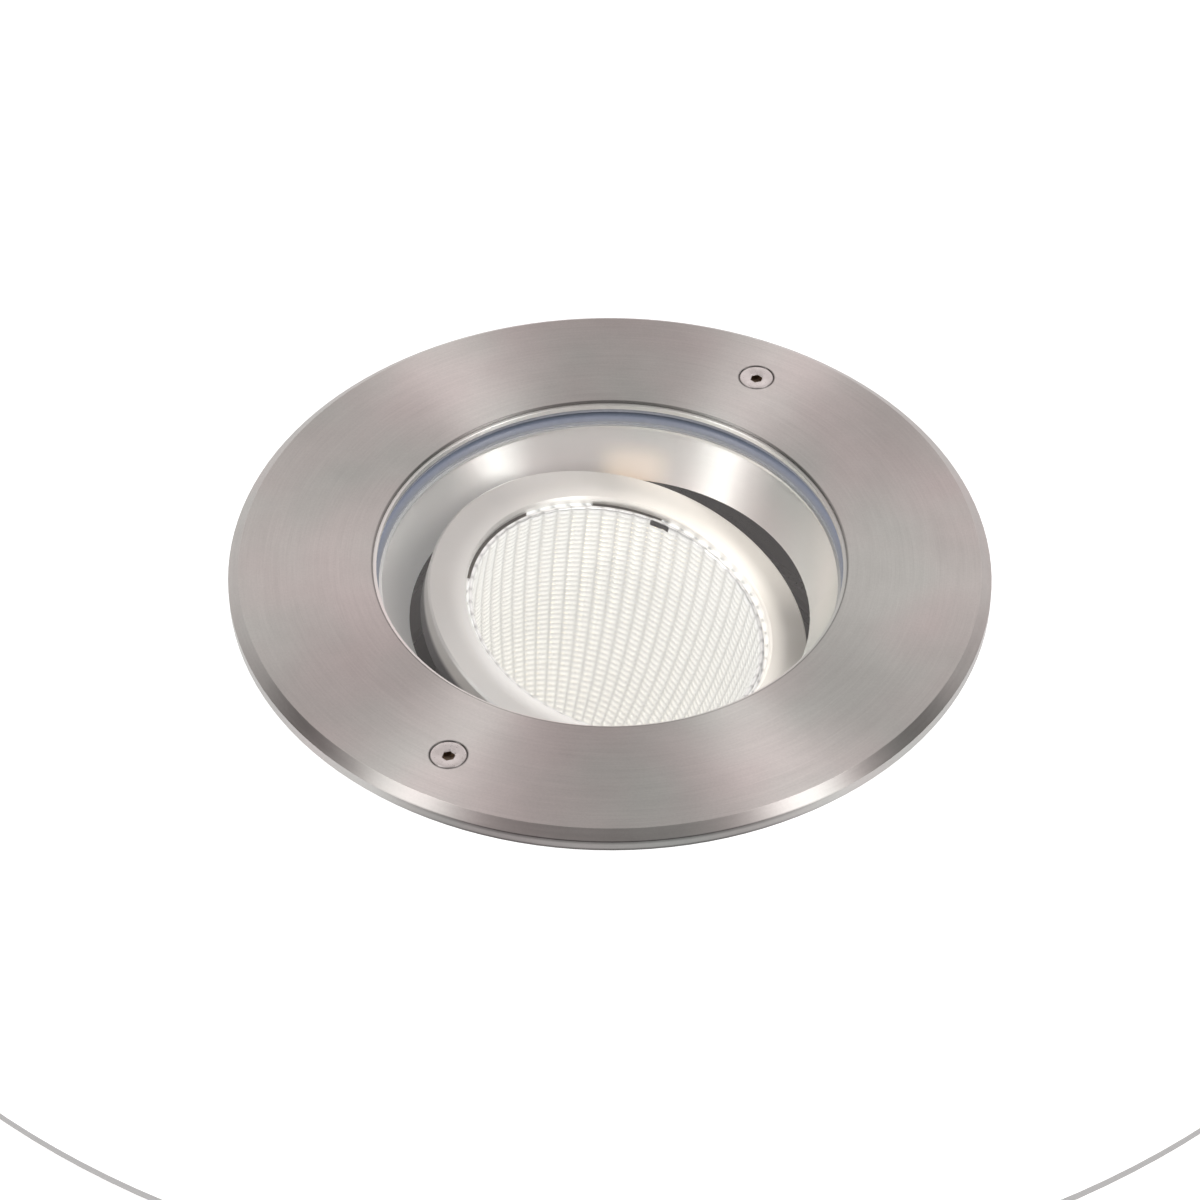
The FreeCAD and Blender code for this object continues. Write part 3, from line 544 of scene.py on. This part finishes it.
# ------------------------------------------------------------------ glass pane with its ground edge
prof = [(0.02, GLASS_TOP), (GLASS_R - 0.5, GLASS_TOP), (GLASS_R, GLASS_TOP - 0.5), (GLASS_R, GLASS_BOT + 0.5), (GLASS_R - 0.5, GLASS_BOT), (0.02, GLASS_BOT)]
v, f, e = lathe(prof, 192, closed=False)
n, m = 192, len(prof)
f.append(tuple(i * m for i in range(n)))
e.append(0)
f.append(tuple(i * m + m - 1 for i in reversed(range(n))))
e.append(4)
glass = add("glass_pane_polished", v, f, [M_GLASS, M_EDGE], "housing", smooth=False,
            mat_index=[1 if k in (1, 2, 3) else 0 for k in e])
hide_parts("glass_pane")

# ------------------------------------------------------------------ faceted reflector
FLUTE_H, ROW_H = 0.46, 0.17
NOTCH_D, NOTCH_A, NOTCH_MID = 1.2, 0.064, -0.085       # locating notch in the rim


def bowl(d):
    return 41.6 * math.sqrt(1.0 - (d / 94.0) ** 2)


# rows equally spaced along the meridian
samples = [WALL_END * i / 800.0 for i in range(801)]
arc = [0.0]
for a, b2 in zip(samples, samples[1:]):
    arc.append(arc[-1] + math.hypot(bowl(b2) - bowl(a), b2 - a))


def at_arc(s):
    lo, hi = 0, len(arc) - 1
    while hi - lo > 1:
        mid = (lo + hi) // 2
        if arc[mid] < s:
            lo = mid
        else:
            hi = mid
    k = (s - arc[lo]) / (arc[hi] - arc[lo])
    return samples[lo] + (samples[hi] - samples[lo]) * k


SUB_A, SUB_R = 8, 4
NA, NR = FLUTES * SUB_A, ROWS * SUB_R
verts, faces = [], []
for j in range(NR + 1):
    d = at_arc(arc[-1] * j / NR)
    slope = -41.6 * d / 94.0 ** 2 / math.sqrt(1.0 - (d / 94.0) ** 2)
    L = math.hypot(1.0, slope)
    nr, nw = -1.0 / L, -slope / L      # towards the axis and up
    q = (j % SUB_R) / SUB_R
    size = bowl(d) / 41.6
    for i in range(NA):
        p = (i % SUB_A) / SUB_A
        h = (FLUTE_H * size * sin(pi * p) ** 0.8 + ROW_H * sin(pi * q)) * min(1.0, 0.12 + d / 1.6)
        a = 2 * pi * i / NA - TWIST * d
        in_notch = d < NOTCH_D and abs((a - NOTCH_MID + pi) % (2 * pi) - pi) < NOTCH_A
        r = bowl(d) + (1.3 if in_notch else nr * h)
        verts.append((r * cos(a), r * sin(a), RIM_W - d + nw * h))
mat_index = []
for j in range(NR):
    d = at_arc(arc[-1] * j / NR)
    for i in range(NA):
        k = (i + 1) % NA
        a = 2 * pi * (i + 0.5) / NA - TWIST * d
        faces.append((j * NA + i, (j + 1) * NA + i, (j + 1) * NA + k, j * NA + k))
        mat_index.append(2 if d < NOTCH_D and abs((a - NOTCH_MID + pi) % (2 * pi) - pi) < NOTCH_A else 0)
# floor round the opening, plain outside, flange and rolled rim
prof = [(HOLE_R + 0.2, RIM_W - BOWL_END), (HOLE_R, RIM_W - BOWL_END - 0.3), (HOLE_R, RIM_W - BOWL_END - 1.3), (21.6, RIM_W - BOWL_END - 1.3)]
prof += [(bowl(d) + 1.25, RIM_W - d) for d in (76.0, 70.0, 62.0, 52.0, 40.0, 28.0, 16.0, 6.0)]
prof += [(43.0, 6.6), (47.6, 6.9), (47.6, 8.8), (44.2, 8.8), (43.9, 7.4), (42.75, 7.4), (42.6, 8.9), (42.1, 9.0), (41.8, 8.95)]
base = len(verts)
for r, w in prof:
    for i in range(NA):
        a = 2 * pi * i / NA
        verts.append((r * cos(a), r * sin(a), w))
rows = [NR * NA] + [base + k * NA for k in range(len(prof))] + [0]
for a0, b0 in zip(rows, rows[1:]):
    for i in range(NA):
        k = (i + 1) % NA
        faces.append((a0 + i, b0 + i, b0 + k, a0 + k))
skin = len(rows) - 1
# painted shade: the groove under the rim takes the dark groove finish only at some azimuths; elsewhere it takes the
# reflector's finish
for k in range(skin):
    for i in range(NA):
        a = math.degrees(2 * pi * (i + 0.5) / NA)
        shaded_gap = 50 < a < 94 or a < 22 or a > 355
        mat_index.append(0 if k < 2 or k >= skin - 3 or (k >= skin - 6 and not shaded_gap) else 3 if k >= skin - 6 else 1)
refl = add("reflector_faceted", leaned(verts), faces, [M_REFL, M_CAST, M_SHADE, M_GROOVE], "lamp", mat_index=mat_index, angle=60)
att = refl.data.attributes.new("row", "FLOAT", "POINT")
att.data.foreach_set("value", [j / SUB_R for j in range(NR + 1) for i in range(NA)] + [0.5] * (len(verts) - (NR + 1) * NA))
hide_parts("reflector")

# ------------------------------------------------------------------ bezel screws: dished heads with a broken edge and a chamfered hexagon socket
def bezel_screws():
    N = 72
    verts, faces = [], []

    def hexr(t, af):
        k = (t - math.radians(15)) % (pi / 3) - pi / 6
        return 0.5 * af / cos(k)

    rings = [("r", 0.02, -13.0), ("r", 1.85, -13.0), ("r", 2.45, -12.4)]
    z = -12.0
    while z < -3.4:                     # thread turns as shallow rings
        rings += [("r", 2.45, z), ("r", 2.15, z + 0.4)]
        z += 0.8
    rings += [("r", 2.45, -2.85), ("r", 4.92, -0.42), ("r", 4.97, -0.30), ("r", 4.88, -0.12), ("r", 4.62, 0.02), ("r", 4.30, 0.06),
              ("r", 3.3, -0.02), ("r", 2.25, -0.06), ("h", 3.7, -0.10), ("h", 3.02, -0.42), ("h", 3.0, -2.0), ("h", 0.9, -2.25), ("r", 0.02, -2.3)]
    for az in SCREW_AZ:
        cx, cy = SCREW_R * cos(math.radians(az)), SCREW_R * sin(math.radians(az))
        b0 = len(verts)
        for kind, q, zz in rings:
            for i in range(N):
                t = 2 * pi * i / N
                r = q if kind == "r" else min(hexr(t, q), 2.2)
                verts.append((cx + r * cos(t), cy + r * sin(t), BEZEL_TOP - 0.1 + zz))
        for k in range(len(rings) - 1):
            for i in range(N):
                j = (i + 1) % N
                faces.append((b0 + k * N + i, b0 + k * N + j, b0 + (k + 1) * N + j, b0 + (k + 1) * N + i))
        faces.append(tuple(b0 + i for i in reversed(range(N))))
        faces.append(tuple(b0 + (len(rings) - 1) * N + i for i in range(N)))
    return verts, faces


v, f = bezel_screws()
screws = add("bezel_screws_turned", v, f, [M_SCREW], "housing", angle=35)
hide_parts("bezel_screws")

# ------------------------------------------------------------------ sleeve tube with its moulded detail
def sleeve_tube():
    R, R_IN, TOP, BOT, N = 95.0, 92.0, -24.0, -203.0, 576
    grooves = (-66.0, -104.0, -142.0)
    zs = {TOP, TOP - 0.7, BOT, BOT + 0.6, -29.6, -30.4, -45.6, -46.4, -176.6, -177.0, -178.4, -178.8}
    for g in grooves:
        zs |= {g - 1.5, g - 1.0, g + 1.0, g + 1.5}
    zs |= {-24.0 - 6.0 * k for k in range(1, 30) if all(abs(-24.0 - 6.0 * k - z) > 1.2 for z in list(zs))}
    zs = sorted(zs, reverse=True)

    def depth(i, z):
        d = 0.0
        if z > TOP - 0.5 or z < BOT + 0.3:
            d = 0.6
        if -46.0 < z < -30.0 and i % 4 in (1, 2):
            d = 0.75                    # grip flutes
        if any(abs(z - g) < 1.2 for g in grooves):
            d = 0.9
        for c in (0, N // 4, N // 2, 3 * N // 4):       # break-out panels for the cable
            k = abs((i - c + N // 2) % N - N // 2)
            if k <= 13 and -178.6 < z < -176.8:
                d = max(d, 0.9)
            if k in (12, 13) and z < -176.8:
                d = max(d, 0.9)
            if k < 12 and z < -178.6:
                d = max(d, 0.3)
        if i % (N // 2) == N // 8 and z < -50.0:        # mould parting line
            d = max(d, 0.35)
        return d

    verts, faces = [], []
    for z in zs:
        for i in range(N):
            a = 2 * pi * i / N
            r = R - depth(i, z)
            verts.append((r * cos(a), r * sin(a), z))
    for z in (BOT, TOP):
        for i in range(N):
            a = 2 * pi * i / N
            verts.append((R_IN * cos(a), R_IN * sin(a), z))
    rows = list(range(len(zs))) + [len(zs), len(zs) + 1, 0]
    for a0, b0 in zip(rows, rows[1:]):
        for i in range(N):
            k = (i + 1) % N
            faces.append((a0 * N + i, b0 * N + i, b0 * N + k, a0 * N + k))
    return verts, faces


v, f = sleeve_tube()
tube = add("sleeve_tube_moulded", v, f, [M_SLEEVE], "housing", angle=25)
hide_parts("sleeve_tube")

# ------------------------------------------------------------------ camera
E = math.radians(43.185)
D = 1.13830
cam = bpy.data.cameras.new("camera")
cam_o = bpy.data.objects.new("camera", cam)
S.collection.objects.link(cam_o)
cam.lens, cam.sensor_width = 124.08, 36.0
cam.shift_x, cam.shift_y = -9.92 / 1200, -43.28 / 1200
fw = Vector((0, cos(E), -sin(E)))
cam_o.location = Vector((0, 0, BEZEL_TOP * MM)) - fw * D
cam_o.rotation_mode = "QUATERNION"
cam_o.rotation_quaternion = fw.to_track_quat("-Z", "Y") @ Matrix.Rotation(math.radians(0.23), 4, "Z").to_quaternion()
cam.clip_start, cam.clip_end = 0.01, 50
S.camera = cam_o

# ------------------------------------------------------------------ stage: white floor under the sleeve, and the ground round the bezel
def stage_material(name, emit, albedo):
    M = Mat(name)
    b = M.bsdf(Roughness=0.9)
    n = M.noise(M.obj(), 6.0, 2.0)
    M.link(M.mix(M.remap(n, 0.3, 0.7, 0, 1), (albedo,) * 3, (albedo * 0.99,) * 3), b.inputs["Base Color"])
    b.inputs["Specular IOR Level"].default_value = 0.0
    b.inputs["Emission Color"].default_value = (1, 1, 1, 1)
    b.inputs["Emission Strength"].default_value = emit
    return M.m


M_FLOOR = stage_material("pale_floor", 0.62, 0.85)
M_PLATE = stage_material("white_ground", 1.0, 0.30)
# painted shade: the plate's edge is a darker copy of the white ground
M_PLATE_EDGE_SHADE = stage_material("white_ground_shaded_edge", 0.14, 0.35)


def plain(name, verts, faces, mat):
    me = bpy.data.meshes.new(name)
    me.from_pydata(verts, [], faces)
    me.update()
    me.materials.append(mat)
    o = bpy.data.objects.new(name, me)
    S.collection.objects.link(o)
    return o


floor = plain("floor", [(-9, -9, -0.2032), (9, -9, -0.2032), (9, 9, -0.2032), (-9, 9, -0.2032)], [(0, 1, 2, 3)], M_FLOOR)

# the ground that the light is set in: a round white plate just under the bezel's seat, open for the sleeve
def ground_plate(n=192):
    prof = [(0.0968, -0.0040), (0.2400, -0.0040), (0.2400, -0.0066), (0.0968, -0.0066)]
    verts, faces, edge = lathe(prof, n)
    o = plain("ground_plate", verts, faces, M_PLATE)
    o.data.materials.append(M_PLATE_EDGE_SHADE)
    for p, k in zip(o.data.polygons, edge):
        p.material_index = 0 if k == 0 else 1
    return o


ground_plate()

# ------------------------------------------------------------------ light: white world with two soft panels overhead and a darker gap between them
BASE_L, PANEL_L, SIDE_L, GAP_L, DIM_L, LOW_L = 0.50, 1.8, 0.36, 0.34, 0.40, 2.2
world = bpy.data.worlds.new("studio")
S.world = world
world.use_nodes = True
W = Mat.__new__(Mat)
W.t = world.node_tree
W.t.nodes.clear()
out = W.n("ShaderNodeOutputWorld")
gen = W.n("ShaderNodeTexCoord").outputs["Generated"]
x, y, z = W.xyz(gen)
dx = W.math("ABSOLUTE", x)
dy = W.math("SUBTRACT", 0.729, y)
psi = W.math("ARCTAN2", dx, dy)        # turn about the direction that the camera sees mirrored in the flat top
rho = W.math("SQRT", W.math("ADD", W.math("MULTIPLY", dx, dx), W.math("MULTIPLY", dy, dy)))


def smooth(v, a, b):
    n = W.n("ShaderNodeMapRange", interpolation_type="SMOOTHSTEP")
    n.inputs[1].default_value, n.inputs[2].default_value = a, b
    n.inputs[3].default_value, n.inputs[4].default_value = 0.0, 1.0
    W.link(v, n.inputs[0])
    return n.outputs[0]


def band(v, a, b, soft):
    return W.math("MULTIPLY", smooth(v, a - soft, a + soft), W.math("SUBTRACT", 1.0, smooth(v, b - soft, b + soft)))


upto = W.math("SUBTRACT", 1.0, smooth(rho, 1.47, 1.54))
panel = W.math("MULTIPLY", W.math("MULTIPLY", band(psi, 0.45, 0.61, 0.085), smooth(rho, 0.24, 0.44)), upto)
gap = W.math("MULTIPLY", W.math("SUBTRACT", 1.0, smooth(psi, 0.10, 0.40)), band(rho, 0.55, 1.42, 0.12))
dim = W.math("MULTIPLY", band(psi, 0.78, 1.05, 0.10), smooth(rho, 0.55, 0.9))
side = smooth(psi, 0.98, 1.5)
val = W.math("ADD", BASE_L, W.math("MULTIPLY", panel, PANEL_L))
val = W.math("ADD", val, W.math("MULTIPLY", side, SIDE_L))
low_panel = W.math("MULTIPLY", W.math("MULTIPLY", band(psi, 0.40, 0.66, 0.10), smooth(rho, 1.20, 1.36)), upto)
val = W.math("ADD", val, W.math("MULTIPLY", low_panel, LOW_L))
val = W.math("SUBTRACT", val, W.math("MULTIPLY", gap, GAP_L))
val = W.math("SUBTRACT", val, W.math("MULTIPLY", dim, DIM_L))
tint = W.mix(panel, (1.0, 0.93, 0.915), (1.0, 0.995, 0.98))
lp = W.n("ShaderNodeLightPath").outputs["Is Camera Ray"]
mixv = W.n("ShaderNodeMix", data_type="FLOAT")
W.link(lp, mixv.inputs[0])
W.link(val, mixv.inputs[2])
mixv.inputs[3].default_value = 1.05
bg = W.n("ShaderNodeBackground")
W.link(W.mix(lp, tint, (1.0, 1.0, 1.0)), bg.inputs[0])
W.link(mixv.outputs[0], bg.inputs[1])
W.link(bg.outputs[0], out.inputs[0])

S.view_settings.view_transform = "Standard"
S.view_settings.look = "None"
